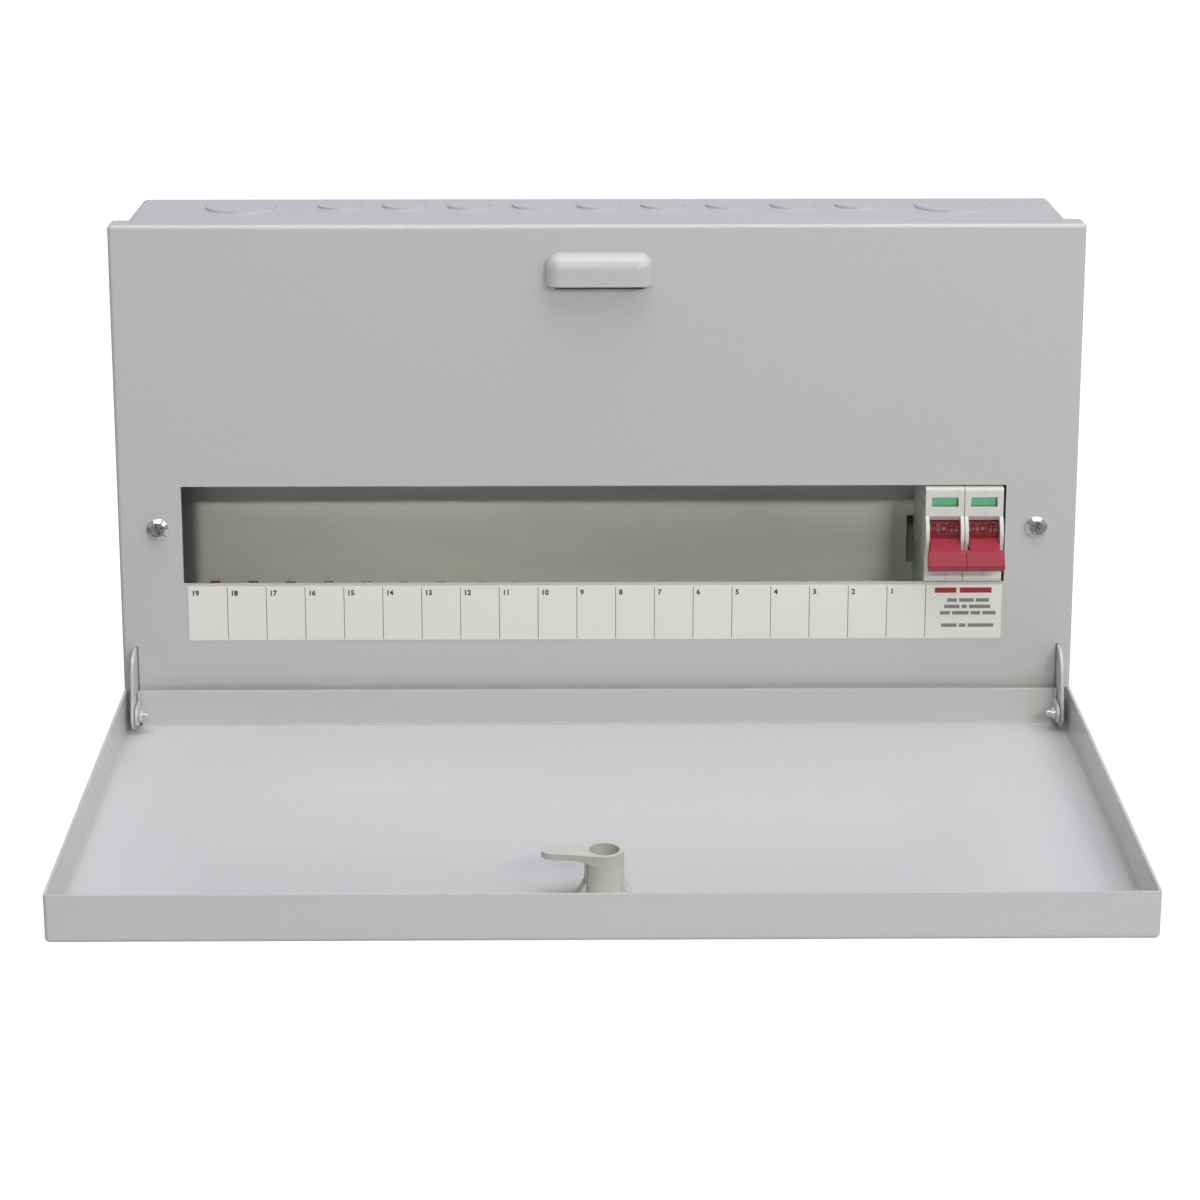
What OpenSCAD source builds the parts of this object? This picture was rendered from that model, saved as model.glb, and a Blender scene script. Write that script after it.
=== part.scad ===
// Steel breaker panel: a shallow wall cabinet with a lift-off front cover, a drop-down door,
// a carrier plate for the breakers, a two-pole main switch, a busbar comb and terminal bars.
// Millimetres. X runs to the right, Y into the wall, Z up. The wall is at Y = 0, the floor at Z = 0.

/* [Window] */
// width of one breaker module
module_w = 18; // [17.5:0.1:18]
// number of modules the window takes, main switch included
ways = 21; // [12:1:24]
// height of the window
window_h = 46.4; // [45.4:0.1:48]
// bottom edge of the window
window_z = 74.8; // [70:0.1:85]
// centre of the window along the cover
window_x = -1.6; // [-4:0.1:4]

/* [Cabinet] */
// half of what the cover is wider than the window
side_w = 31; // [29:1:60]
// height of the cabinet, floor to the top of the cover
cover_h = 243; // [225:1:280]
// distance from the wall to the face of the cover
box_depth = 78; // [74:1:110]
// gap between the back box and the cover's side flanges
box_gap = 4.3; // [0.5:0.1:6]
// depth of the cover's side and top flanges
flange = 13; // [10:0.5:25]
// thickness of the painted sheet
sheet = 1.2; // [1:0.1:1.6]
// outside radius of the folds in cover and door
fold_r = 1.9; // [1.7:0.1:3]

/* [Door] */
// gap at each side between the door's edge and the cover's edge
door_side_gap = 1.5; // [0.5:0.1:4]
// top of the cover to the top of the closed door
door_top_gap = 1.53; // [0.5:0.01:6]
// gap between the closed door's lips and the cover
rim_gap = 3.3; // [2:0.1:6]
// height of the lip on the hinge side
hinge_lip_h = 18; // [10:0.1:18]
// how far the open door droops below level
droop = 1.5; // [0:0.1:3]
// pivot to the face of the cover
pivot_out = 14.2; // [14:0.1:18]
// pivot to the outer face of the door
pivot_up = 9.3; // [8:0.1:12]
// pivot to the outer face of the hinge-side lip
pivot_in = 10.7; // [8:0.1:12]

/* [Latch] */
// latch axis across the door
latch_x = 0.8; // [-20:0.1:20]
// gap between the closed lever and the cover
latch_clear = 2; // [1:0.1:3]
// reach of the lever from the latch axis
lever_reach = 25.5; // [22:0.5:30]
// how far the lever's tip goes up behind the hood
lever_hold = 10.07; // [6:0.01:11]

/* [Switch] */
// gap between the main switch and the side of the window
switch_gap = 1.5; // [0.3:0.1:3]
// depth of the carrier plate's face behind the cover's face
plate_y = 46; // [44:0.5:50]

/* [Hidden] */
$fn = 48;

// planes shared by several pieces
cover_y = -box_depth;
inside_y = cover_y + sheet;
back_y = -sheet;
rim_y = cover_y + 3;
window_w = ways * module_w + 2;
cover_w = window_w + 2 * side_w;
body_w = cover_w - 2 * (sheet + box_gap);
body_in = body_w / 2 - sheet;
body_h = cover_h - sheet - 0.3;
// the door covers the front up to door_top_gap, and its hinge line is set so that
// the latch-side edge rests on the floor when it is open
door_w = cover_w - 2 * door_side_gap;
pivot_y = cover_y - pivot_out;
pivot_z0 = (pivot_up - fold_r) * cos(droop) - (fold_r + pivot_in) * sin(droop) + fold_r;
door_l = (cover_h - door_top_gap - pivot_z0 + pivot_in) / (1 + sin(droop));
pivot_z = pivot_z0 + door_l * sin(droop);
lip_h = pivot_out + pivot_up - rim_gap;
// main switch and carrier stand level with the window
pole_gap = 0.3;
pole_w = module_w - 0.25;
switch_w = 2 * pole_w + pole_gap;
switch_x = window_x + window_w / 2 - switch_gap - switch_w;
switch_z = window_z + window_h / 2;

paint = [0.70, 0.70, 0.69];
zinc = [0.72, 0.73, 0.75];
brass = [0.78, 0.62, 0.30];

// ---------- shared shapes ----------

// block with soft edges round its lower face, X centred, Y from 0, Z from 0
module soft_block(w, l, d, r) {
    translate([-w / 2 + r, r, 0]) cube([w - 2 * r, l - 2 * r, d]);
    translate([-w / 2, r, r]) cube([w, l - 2 * r, d - r]);
    translate([-w / 2 + r, 0, r]) cube([w - 2 * r, l, d - r]);
    for (x = [-w / 2 + r, w / 2 - r]) translate([x, r, r]) rotate([-90, 0, 0])
        cylinder(r = r, h = l - 2 * r);
    for (y = [r, l - r]) translate([-w / 2 + r, y, r]) rotate([0, 90, 0])
        cylinder(r = r, h = w - 2 * r);
    for (x = [-w / 2 + r, w / 2 - r], y = [r, l - r]) translate([x, y, r]) {
        cylinder(r = r, h = d - r);
        sphere(r = r);
    }
}

// folded sheet pan, open on top
module pan(w, l, d) {
    difference() {
        soft_block(w, l, d, fold_r);
        translate([0, sheet, sheet])
            soft_block(w - 2 * sheet, l - 2 * sheet, d, fold_r - sheet);
    }
}

// profile drawn as (Y, Z) and pulled along X
module along_x(x0, w) {
    translate([x0, 0, 0]) rotate([90, 0, 90]) linear_extrude(height = w) children();
}

// cross-recessed pan-head screw, head on top of Z = 0, shank below
module pan_screw(head_r, head_h, shank_r, shank_l) {
    difference() {
        union() {
            cylinder(r = head_r, h = head_h * 0.5);
            translate([0, 0, head_h * 0.5])
                cylinder(r1 = head_r, r2 = head_r * 0.68, h = head_h * 0.5);
            translate([0, 0, -shank_l]) cylinder(r = shank_r, h = shank_l + 0.1);
        }
        for (a = [45, 135]) rotate([0, 0, a])
            translate([-head_r * 0.55, -head_r * 0.1, head_h * 0.35])
                cube([head_r * 1.1, head_r * 0.2, head_h]);
    }
}

// slotted terminal screw, head on top of Z = 0
module slot_screw(head_r, head_h, shank_r, shank_l) {
    difference() {
        union() {
            cylinder(r = head_r, h = head_h);
            translate([0, 0, -shank_l]) cylinder(r = shank_r, h = shank_l + 0.1);
        }
        translate([-head_r, -head_r * 0.16, head_h * 0.5])
            cube([head_r * 2, head_r * 0.32, head_h]);
    }
}

// faces a piece towards the front, at a point on a plane Y = y
module facing_front(x, y, z) {
    translate([x, y, z]) rotate([90, 0, 0]) children();
}

// ---------- back box ----------

wall_hole_r = 3.25;
wall_hole_x = body_w / 2 - 45.5;
wall_hole_z = [38, body_h - 35.5];
box_edge_r = 3;
rear_screw_r = 1.6;
rear_screw_l = 14;
knockout_small_r = 10.5;
knockout_large_r = 16.75;
knockout_large_x = body_w / 2 - 49.5;
knockout_large_y = -22.5;
knockout_small_y = -19.5;
knockout_pitch = 30.3;
knockout_row_x = 1.2;
knockout_n = floor((2 * knockout_large_x - 58) / knockout_pitch);
// height that each disc is sheared up out of the sheet
knockout_up = 0.95;

// band of the box from front to back, shrunk by t, with its four long edges rounded
module box_form(t, front, back) {
    r = box_edge_r - t;
    w = body_w / 2 - t;
    facing_front(0, back, 0) linear_extrude(height = back - front) union() {
        translate([r - w, t]) square([2 * (w - r), body_h - 2 * t]);
        translate([-w, t + r]) square([2 * w, body_h - 2 * (t + r)]);
        for (x = [r - w, w - r], z = [t + r, body_h - t - r]) translate([x, z]) circle(r = r);
    }
}

module knockout_places() {
    for (s = [-1, 1]) translate([s * knockout_large_x, knockout_large_y, 0]) children(0);
    for (i = [0 : knockout_n - 1])
        translate([knockout_row_x + knockout_pitch * (i - (knockout_n - 1) / 2), knockout_small_y, 0])
            children(1);
}

module knockout_discs(z, h) {
    knockout_places() {
        translate([0, 0, z]) cylinder(r = knockout_large_r, h = h);
        translate([0, 0, z]) cylinder(r = knockout_small_r, h = h);
    }
}

module back_box() {
    color(paint) difference() {
        union() {
            box_form(0, rim_y, 0);
            knockout_discs(body_h - 0.2, knockout_up + 0.2);
        }
        box_form(sheet, rim_y - 5, back_y);
        knockout_discs(body_h - sheet - 1, knockout_up + 1);
        for (x = [-wall_hole_x, wall_hole_x], z = wall_hole_z)
            facing_front(x, 1, z) cylinder(r = wall_hole_r, h = sheet + 2);
        for (x = [-carrier_foot_x, carrier_foot_x], z = carrier_screw_z)
            facing_front(x, 1, z) cylinder(r = rear_screw_r, h = sheet + 2);
        for (x = holder_x) facing_front(x, 1, bar_z) cylinder(r = rear_screw_r, h = sheet + 2);
    }
}

// ---------- front cover ----------

hood_x = latch_x;
hood_w = 48.4;
hood_z = cover_h - 27.1;
hood_h = 14.5;
hood_out = 8.5;
hood_r = 6.5;
mouth_w = 40;
mouth_h = 2.4;
slot_gap = 0.4;
corner_slit = 0.5;
screw_x = cover_w / 2 - 18.4;
screw_z = window_z + 26.5;

// pressed finger hood, shrunk by t and cut off flat at its lower edge
module hood_shape(t) {
    intersection() {
        translate([hood_x, cover_y - hood_out + t, hood_z - hood_r]) rotate([90, 0, 0])
            mirror([0, 0, 1])
                soft_block(hood_w - 2 * t, hood_h + hood_r - t, hood_out + sheet + 2 * t, hood_r - t);
        translate([hood_x - hood_w, cover_y - 2 * hood_out, hood_z])
            cube([2 * hood_w, 4 * hood_out, 2 * hood_h]);
    }
}

module window_cut() {
    r = 0.5;
    x0 = window_x - window_w / 2;
    facing_front(0, inside_y + 1, 0) linear_extrude(height = sheet + 2) union() {
        translate([x0 + r, window_z]) square([window_w - 2 * r, window_h]);
        translate([x0, window_z + r]) square([window_w, window_h - 2 * r]);
        for (x = [x0 + r, x0 + window_w - r], z = [window_z + r, window_z + window_h - r])
            translate([x, z]) circle(r = r);
    }
}

module front_cover() {
    low = 0.3;
    color(paint) difference() {
        union() {
            difference() {
                translate([0, cover_y, low]) rotate([90, 0, 0]) mirror([0, 0, 1])
                    pan(cover_w, cover_h - low, flange);
                // no flange along the bottom: the box floor comes right down here
                translate([-body_w / 2 - 0.5, inside_y, -1]) cube([body_w + 1, flange, 6]);
            }
            // turned-in locating lip inside the box floor
            translate([-body_in + 3, inside_y - 0.4, low + sheet]) cube([2 * body_in - 6, 9, sheet]);
            hood_shape(0);
        }
        hood_shape(sheet);
        translate([hood_x - mouth_w / 2, cover_y - 1, hood_z - mouth_h])
            cube([mouth_w, sheet + 2, mouth_h + 1]);
        window_cut();
        for (s = [-1, 1]) {
            // slot for the hinge arm
            translate([s * (arm_x + arm_t / 2) - arm_t / 2 - slot_gap, cover_y - 1,
                pivot_z - arm_r - slot_gap])
                cube([arm_t + 2 * slot_gap, sheet + 2, arm_h + 2 * slot_gap]);
            facing_front(s * screw_x, inside_y + 1, screw_z) cylinder(r = 2.8, h = sheet + 2);
            // open corner between the top and side flanges
            translate([s * (cover_w / 2 - 1), cover_y + fold_r, cover_h - 1]) rotate([0, 45 * s, 0])
                translate([-corner_slit / 2, 0, -2]) cube([corner_slit, flange, 5]);
        }
    }
}

// welded tabs in the box that the cover is screwed to
tab_h = 20;
tab_t = 1.5;
tab_w = body_in - screw_x + 6.3;

module cover_brackets() {
    color(paint) for (s = [-1, 1]) mirror([s > 0 ? 1 : 0, 0, 0]) difference() {
        union() {
            translate([-body_in, inside_y, screw_z - tab_h / 2]) cube([tab_w, tab_t, tab_h]);
            translate([-body_in, inside_y, screw_z - tab_h / 2]) cube([tab_t, tab_h, tab_h]);
        }
        facing_front(-screw_x, inside_y + 3, screw_z) cylinder(r = 2.3, h = 6);
    }
}

module cover_screws() {
    color(zinc) for (s = [-1, 1]) facing_front(s * screw_x, cover_y, screw_z)
        rotate([0, 0, 20 * s]) pan_screw(5, 3, 2.25, 13);
}

label_t = 0.25;
label_h = 26.1;
label_w = window_w - 2.4;

module label_strip() {
    color([0.82, 0.82, 0.81])
        translate([window_x + 0.6 - label_w / 2, cover_y - label_t, window_z - 1.3 - label_h])
            cube([label_w, label_t, label_h]);
}

// ---------- carrier plate ----------

carrier_w = window_w + 20;
foot_gap = 1.6;
carrier_t = 1.5;
carrier_z = [switch_z - 40, switch_z + 18];
carrier_lip = 4;
carrier_leg_in = 5;
carrier_foot_w = body_in - carrier_w / 2 - foot_gap;
carrier_foot_x = (carrier_w + carrier_foot_w) / 2;
carrier_screw_z = [carrier_z[0] + 16, carrier_z[1] - 16];
carrier_y = cover_y + plate_y;

module carrier_plate() {
    h = carrier_z[1] - carrier_z[0];
    color([0.58, 0.60, 0.57]) difference() {
        union() {
            translate([-carrier_w / 2, carrier_y, carrier_z[0]]) cube([carrier_w, carrier_t, h]);
            for (z = [carrier_z[0], carrier_z[1] - carrier_t])
                translate([-carrier_w / 2, carrier_y, z]) cube([carrier_w, carrier_lip, carrier_t]);
            for (s = [-1, 1]) mirror([s > 0 ? 1 : 0, 0, 0]) {
                translate([-carrier_w / 2, carrier_y, carrier_z[0] + carrier_leg_in])
                    cube([carrier_t, back_y - carrier_y, h - 2 * carrier_leg_in]);
                translate([-carrier_w / 2 - carrier_foot_w, back_y - carrier_t,
                    carrier_z[0] + carrier_leg_in])
                    cube([carrier_foot_w + 0.1, carrier_t, h - 2 * carrier_leg_in]);
            }
        }
        // clearance slot beside the main switch
        translate([switch_x - 3.1, carrier_y - 1, switch_z - 27]) cube([7.8, carrier_t + 2, 23]);
        for (x = [-carrier_foot_x, carrier_foot_x], z = carrier_screw_z)
            facing_front(x, back_y + 1, z) cylinder(r = 2.3, h = carrier_t + 2);
    }
}

module carrier_screws() {
    color(zinc) for (x = [-carrier_foot_x, carrier_foot_x], z = carrier_screw_z)
        facing_front(x, back_y - carrier_t, z) pan_screw(3.8, 2.4, 1.55, carrier_t + sheet);
}

// ---------- main switch ----------

nose_y = cover_y - 3;
nose_r = 1.5;
shoulder_y = cover_y + 3;
axis_y = cover_y + 5;
axis_z = switch_z;
drum_r = 8;
drum_w = 13.8;
recess_w = 14.4;
pin_r = 1.6;
flag_y = cover_y + 3;
flag_z = switch_z + 15.7;
flag_r = 4.6;
flag_w = 12.1;
flag_inset = 2.4;
flag_shaft_r = 1.5;
clamp_y = cover_y + 38;
clamp_w = 10;
clamp_d = 12;
clamp_z = [switch_z - 30, switch_z + 30];
case_z = [switch_z - 42, switch_z + 44];
nose_z = [switch_z - 22.5, switch_z + 22.5];
hook_gap = 0.3;
hook_out = 5.8;
hook_in = 4.3;
pole_x = [switch_x, switch_x + pole_w + pole_gap];

module case_outline() {
    hook_z = carrier_z[1] + 5;
    translate([nose_y + nose_r, nose_z[1] - nose_r]) circle(r = nose_r);
    polygon([[shoulder_y, case_z[0]], [shoulder_y, nose_z[0]], [cover_y - 1.2, nose_z[0]],
        [nose_y, nose_z[0] + 1.7], [nose_y, nose_z[1] - nose_r], [nose_y + nose_r, nose_z[1]],
        [shoulder_y, nose_z[1]], [shoulder_y, case_z[1]], [carrier_y, case_z[1]],
        [carrier_y, hook_z], [carrier_y + hook_out, hook_z],
        [carrier_y + hook_out, carrier_z[1] - 2.5], [carrier_y + hook_in, carrier_z[1] - 2.5],
        [carrier_y + hook_in, carrier_z[1] + hook_gap], [carrier_y, carrier_z[1] + hook_gap],
        [carrier_y, case_z[0]]]);
}

// mouth of the toggle recess, open to the front
module recess_outline() {
    polygon([[axis_y, axis_z + 8.4], [cover_y - 0.4, axis_z + 6.6], [nose_y, axis_z + 9.1],
        [nose_y - 9, axis_z + 9.1], [nose_y - 9, axis_z - 9], [nose_y, axis_z - 9],
        [axis_y, axis_z - 8.4]]);
}

module pole(x0) {
    xc = x0 + pole_w / 2;
    difference() {
        union() {
            along_x(x0, pole_w) case_outline();
            // rounded cheeks beside the toggle
            intersection() {
                translate([x0, axis_y, axis_z]) rotate([0, 90, 0]) cylinder(r = 12, h = pole_w);
                translate([x0, nose_y - 6, axis_z - 15]) cube([pole_w, 8, 30]);
            }
        }
        along_x(xc - recess_w / 2, recess_w) recess_outline();
        translate([xc - recess_w / 2, axis_y, axis_z]) rotate([0, 90, 0])
            cylinder(r = drum_r + 0.45, h = recess_w);
        translate([x0 - 1, axis_y, axis_z]) rotate([0, 90, 0])
            cylinder(r = pin_r + 0.06, h = pole_w + 2);
        // flag drum and its sight window
        translate([x0 + flag_inset - 0.3, flag_y, flag_z]) rotate([0, 90, 0])
            cylinder(r = flag_r + 0.4, h = pole_w - 2 * flag_inset + 0.6);
        translate([xc - 6.1, nose_y - 1, flag_z - 2.3]) cube([12.2, 4, 4.6]);
        translate([x0 - 1, flag_y, flag_z]) rotate([0, 90, 0])
            cylinder(r = flag_shaft_r + 0.06, h = pole_w + 2);
        for (z = clamp_z) {
            // clamp pocket and screwdriver well
            translate([xc - clamp_w / 2 - 0.2, clamp_y - clamp_d / 2 - 0.2, z - clamp_w / 2 - 0.2])
                cube([clamp_w + 0.4, clamp_d + 0.4, clamp_w + 0.4]);
            facing_front(xc, clamp_y, z) cylinder(r = 3.3, h = clamp_y - shoulder_y + 1);
        }
        // cable entry above, busbar entry below
        translate([xc, clamp_y, clamp_z[1]]) cylinder(r = 4.4, h = case_z[1] - clamp_z[1] + 1);
        translate([xc - 3.4, clamp_y - 3, case_z[0] - 1]) cube([6.8, 7, clamp_z[0] - case_z[0]]);
        // rivet wells
        for (p = rivet_at) translate([x0 - 1, cover_y + p[0], p[1]]) rotate([0, 90, 0])
            cylinder(r = 1.5, h = pole_w + 2);
    }
}

rivet_at = [[10, case_z[0] + 5], [10, case_z[1] - 5], [26, switch_z], [42, switch_z - 14]];

module switch_pole_left() {
    color([0.80, 0.80, 0.77]) pole(pole_x[0]);
}

module switch_pole_right() {
    color([0.80, 0.80, 0.77]) pole(pole_x[1]);
}

module switch_clips() {
    low = case_z[0] - 1.6;
    color([0.35, 0.36, 0.37]) for (x0 = pole_x) along_x(x0 + module_w / 3, module_w / 3) polygon([
        [carrier_y - 3, low], [carrier_y + hook_out, low],
        [carrier_y + hook_out, carrier_z[0] + 2.4], [carrier_y + hook_in, carrier_z[0] + 2.4],
        [carrier_y + hook_in, carrier_z[0] - hook_gap], [carrier_y + hook_gap, carrier_z[0] - hook_gap],
        [carrier_y + hook_gap, case_z[0]], [carrier_y - 3, case_z[0]]]);
}

module switch_clamps() {
    color(brass) for (x0 = pole_x, z = clamp_z) translate([x0 + pole_w / 2, clamp_y, z])
        difference() {
            translate([-clamp_w / 2, -clamp_d / 2, -clamp_w / 2]) cube([clamp_w, clamp_d, clamp_w]);
            translate([-3.6, -2.6, -6]) cube([7.2, 5.6, 12]);
            facing_front(0, 0, 0) cylinder(r = 2.2, h = 8);
        }
}

module switch_screws() {
    color(zinc) for (x0 = pole_x, i = [0, 1])
        facing_front(x0 + pole_w / 2, clamp_y - 12, clamp_z[i])
            slot_screw(3, 2.6, 2.2, i == 0 ? 13 : 9.5);
}

module switch_rivets() {
    head_t = 0.4;
    color(zinc) for (p = rivet_at) translate([switch_x - head_t, cover_y + p[0], p[1]])
        rotate([0, 90, 0]) {
            cylinder(r = 1.45, h = switch_w + 2 * head_t);
            for (z = [0, switch_w + head_t]) translate([0, 0, z]) cylinder(r = 2.4, h = head_t);
        }
}

module toggle_outline() {
    polygon([[cover_y - 2.2, axis_z - 1.3], [cover_y - 13, axis_z - 4.9],
        [cover_y - 12.6, axis_z - 11.2], [cover_y - 1, axis_z - 5.4], [axis_y, axis_z]]);
}

module toggle_bar_outline() {
    polygon([[cover_y - 12.1, axis_z - 4.6], [cover_y - 13.8, axis_z - 5],
        [cover_y - 16.9, axis_z - 10.6], [cover_y - 16.8, axis_z - 11.8],
        [cover_y - 15.2, axis_z - 13.8], [cover_y - 12.8, axis_z - 13.9],
        [cover_y - 10.6, axis_z - 10.8]]);
}

// two drums with short levers, joined by one grip bar
bar_joint = 0.24;

module toggle() {
    bar_w = switch_w - 0.8;
    color([0.72, 0.16, 0.24]) difference() {
        union() {
            for (x0 = pole_x) {
                xc = x0 + pole_w / 2;
                translate([xc - drum_w / 2, axis_y, axis_z]) rotate([0, 90, 0])
                    cylinder(r = drum_r, h = drum_w);
                along_x(xc - drum_w / 2, drum_w) toggle_outline();
            }
            along_x(switch_x + 0.4, bar_w) toggle_bar_outline();
        }
        translate([switch_x - 5, axis_y, axis_z]) rotate([0, 90, 0])
            cylinder(r = pin_r, h = switch_w + 10);
        // joint line of the grip bar
        translate([switch_x + (switch_w - bar_joint) / 2, cover_y - 20, axis_z - 20])
            cube([bar_joint, 6.5, 20]);
    }
}

module toggle_pin() {
    color(zinc) translate([switch_x + 0.6, axis_y, axis_z]) rotate([0, 90, 0])
        cylinder(r = pin_r, h = switch_w - 1.2);
}

// quarter drum from angle a0, drawn as (Y, Z) about the flag axis
module flag_quarter(a0) {
    for (x0 = pole_x) translate([x0 + flag_inset, flag_y, flag_z])
        rotate([a0, 0, 0]) intersection() {
            rotate([0, 90, 0]) difference() {
                cylinder(r = flag_r, h = flag_w);
                translate([0, 0, -1]) cylinder(r = flag_shaft_r, h = flag_w + 2);
            }
            translate([-1, -10, -10]) cube([flag_w + 2, 10, 10]);
        }
}

module flags_green() {
    color([0.25, 0.60, 0.42]) flag_quarter(-45);
}

module flags_red() {
    color([0.72, 0.12, 0.14]) flag_quarter(45);
}

module flag_shaft() {
    color([0.80, 0.80, 0.77]) translate([switch_x + 0.6, flag_y, flag_z]) rotate([0, 90, 0])
        cylinder(r = flag_shaft_r, h = switch_w - 1.2);
}

// ---------- busbar ----------

comb_tilt = 0.5;
comb_t = 2;
comb_y = clamp_y + 1;
comb_z = switch_z - 57;
comb_h = 9.4;
comb_end = 6;
prong_w = 4.6;
prong_h = 11.1;
comb_n = ways - 1;

module comb_place() {
    translate([pole_x[0] + pole_w / 2, comb_y, comb_z]) rotate([0, comb_tilt, 0]) children();
}

module busbar() {
    color([0.78, 0.42, 0.24]) comb_place() {
        translate([-(comb_n - 1) * module_w - comb_end, 0, 0])
            cube([(comb_n - 1) * module_w + 2 * comb_end - 1, comb_t, comb_h]);
        for (i = [0 : comb_n - 1]) translate([-i * module_w - prong_w / 2, 0, comb_h - 0.1])
            cube([prong_w, comb_t, i == 0 ? clamp_z[0] - comb_z - comb_h + 1.4 : prong_h]);
    }
}

module busbar_shroud() {
    wall = 1.6;
    end = 4;
    len = (comb_n - 1) * module_w - 3;
    color([0.52, 0.54, 0.56]) comb_place()
        translate([-(comb_n - 1) * module_w - comb_end - end, 0, 0]) difference() {
            translate([0, -wall, -2]) cube([len, comb_t + 2 * wall, comb_h + 3]);
            translate([end, 0, 0]) cube([len, comb_t, comb_h + 6]);
        }
}

// ---------- terminal bars and link ----------

bar_z = body_h - 59.5;
bar_h = 12;
bar_y = [clamp_y - 4, clamp_y + 4];
bar_end = 8;
way_pitch = 12.6;
link_x = pole_x[1] + pole_w / 2;
bar_ways = floor((link_x - 10) / way_pitch);
bar_l = (bar_ways - 1) * way_pitch + 2 * bar_end + 0.8;
neutral_x = link_x + bar_end - bar_l;
earth_x = -neutral_x - bar_l;
earth_entry_x = earth_x + bar_l - bar_end;
holder_in = 22;
holder_x = [neutral_x + holder_in, neutral_x + bar_l - holder_in,
    earth_x + holder_in, earth_x + bar_l - holder_in];
holder_w = 14;
holder_h = 18;
post_r = 5;
bar_screw_r = 1.7;

// wire entries from below on a pitch, counted from the right-hand one
module bar(x0, entry_x) {
    color(brass) difference() {
        translate([x0, bar_y[0], bar_z - bar_h / 2]) cube([bar_l, bar_y[1] - bar_y[0], bar_h]);
        for (i = [0 : bar_ways - 1]) {
            translate([entry_x - i * way_pitch, clamp_y, bar_z - bar_h])
                cylinder(r = 3, h = 2 * bar_h);
            facing_front(entry_x - i * way_pitch, clamp_y, bar_z)
                cylinder(r = bar_screw_r, h = clamp_y - bar_y[0] + 5);
        }
    }
}

module bar_screws(entry_x) {
    color(zinc) for (i = [0 : bar_ways - 1])
        facing_front(entry_x - i * way_pitch, bar_y[0] - 1.5, bar_z)
            slot_screw(2.7, 2, bar_screw_r, i == 0 ? 3 : 5);
}

module neutral_bar() {
    bar(neutral_x, link_x);
}

module earth_bar() {
    bar(earth_x, earth_entry_x);
}

module neutral_screws() {
    bar_screws(link_x);
}

module earth_screws() {
    bar_screws(earth_entry_x);
}

module neutral_holders() {
    color([0.30, 0.42, 0.62]) for (x = [holder_x[0], holder_x[1]]) difference() {
        translate([x - holder_w / 2, bar_y[1], bar_z - holder_h / 2])
            cube([holder_w, back_y - bar_y[1], holder_h]);
        facing_front(x, 1, bar_z) cylinder(r = rear_screw_r, h = rear_screw_l);
    }
}

module earth_posts() {
    color(brass) for (x = [holder_x[2], holder_x[3]]) difference() {
        facing_front(x, back_y, bar_z) cylinder(r = post_r, h = back_y - bar_y[1]);
        facing_front(x, 1, bar_z) cylinder(r = rear_screw_r, h = rear_screw_l);
    }
}

// short stiff link from the right-hand pole up to the neutral bar
link_bare = 0.5;
core_r = 2.5;

module link_sleeve() {
    color([0.16, 0.30, 0.60]) translate([link_x, clamp_y, case_z[1] + link_bare])
        cylinder(r = 3.6, h = bar_z - bar_h / 2 - case_z[1] - 2 * link_bare);
}

module link_core() {
    color([0.78, 0.42, 0.24]) {
        translate([link_x, clamp_y, clamp_z[1] - 4])
            cylinder(r = core_r, h = case_z[1] + link_bare - clamp_z[1] + 4);
        translate([link_x, clamp_y, bar_z - bar_h / 2 - link_bare])
            cylinder(r = core_r, h = bar_h - 2);
    }
}

// ---------- door ----------

// door pieces are drawn flat: hinge-side lip at Y = 0, latch side at Y = -door_l, outside at Z = 0
module on_door() {
    translate([0, pivot_y, pivot_z]) rotate([droop, 0, 0])
        translate([0, pivot_in, -pivot_up]) children();
}

ear_t = 1.3;
ear_x = door_w / 2 - 5.6 - ear_t;
ear_r = 4.6;
ear_back = 3.6;
ear_low = 3;
hinge_gap = 0.3;
arm_t = 1.4;
arm_x = ear_x + ear_t + hinge_gap;
arm_r = 6.5;
arm_reach = 5.2;
arm_lean = 14;
arm_rise = 21.4;
arm_top_r = 10;
arm_h = arm_r + arm_rise + arm_top_r * (1 - sin(arm_lean));
arm_foot_w = 13;
arm_foot_h = 30;
bolt_r = 1.75;
bolt_head_r = 2.7;
bolt_head_h = 1;
nut_r = 2.6;
nut_h = 1.7;
bolt_end = 2.4;
bolt_l = arm_t + 2 * hinge_gap + ear_t + nut_h + bolt_end;
thread_pitch = 0.6;
thread_d = 0.3;

hinge_notch = 3.7;
bush_hole_r = 8.5;

module door() {
    color(paint) on_door() difference() {
        translate([0, -door_l, 0]) pan(door_w, door_l, lip_h);
        // lower lip on the hinge side, open at its ends for the hinge
        translate([-ear_x, -sheet - 1, hinge_lip_h]) cube([2 * ear_x, sheet + 2, 9]);
        for (s = [-1, 1]) {
            translate([s * (ear_x + hinge_notch / 2) - hinge_notch / 2, -sheet - 2.5, sheet])
                cube([hinge_notch, sheet + 4, lip_h]);
            // side lips slope down to clear the cover as the door swings
            translate([s * door_w / 2, 0, hinge_lip_h]) rotate([-29, 0, 0])
                translate([-4, -8, 0]) cube([8, 16, 6]);
        }
        translate([latch_x, -latch_l, -1]) cylinder(r = bush_hole_r, h = sheet + 2);
    }
}

// tab bent forward from the end of the hinge-side lip
module ear_outline() {
    translate([-pivot_in, pivot_up]) circle(r = ear_r);
    translate([-pivot_in, pivot_up - ear_r]) square([pivot_in, 2 * ear_r]);
    translate([-ear_back, ear_low]) square([ear_back, hinge_lip_h - ear_low]);
}

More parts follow.
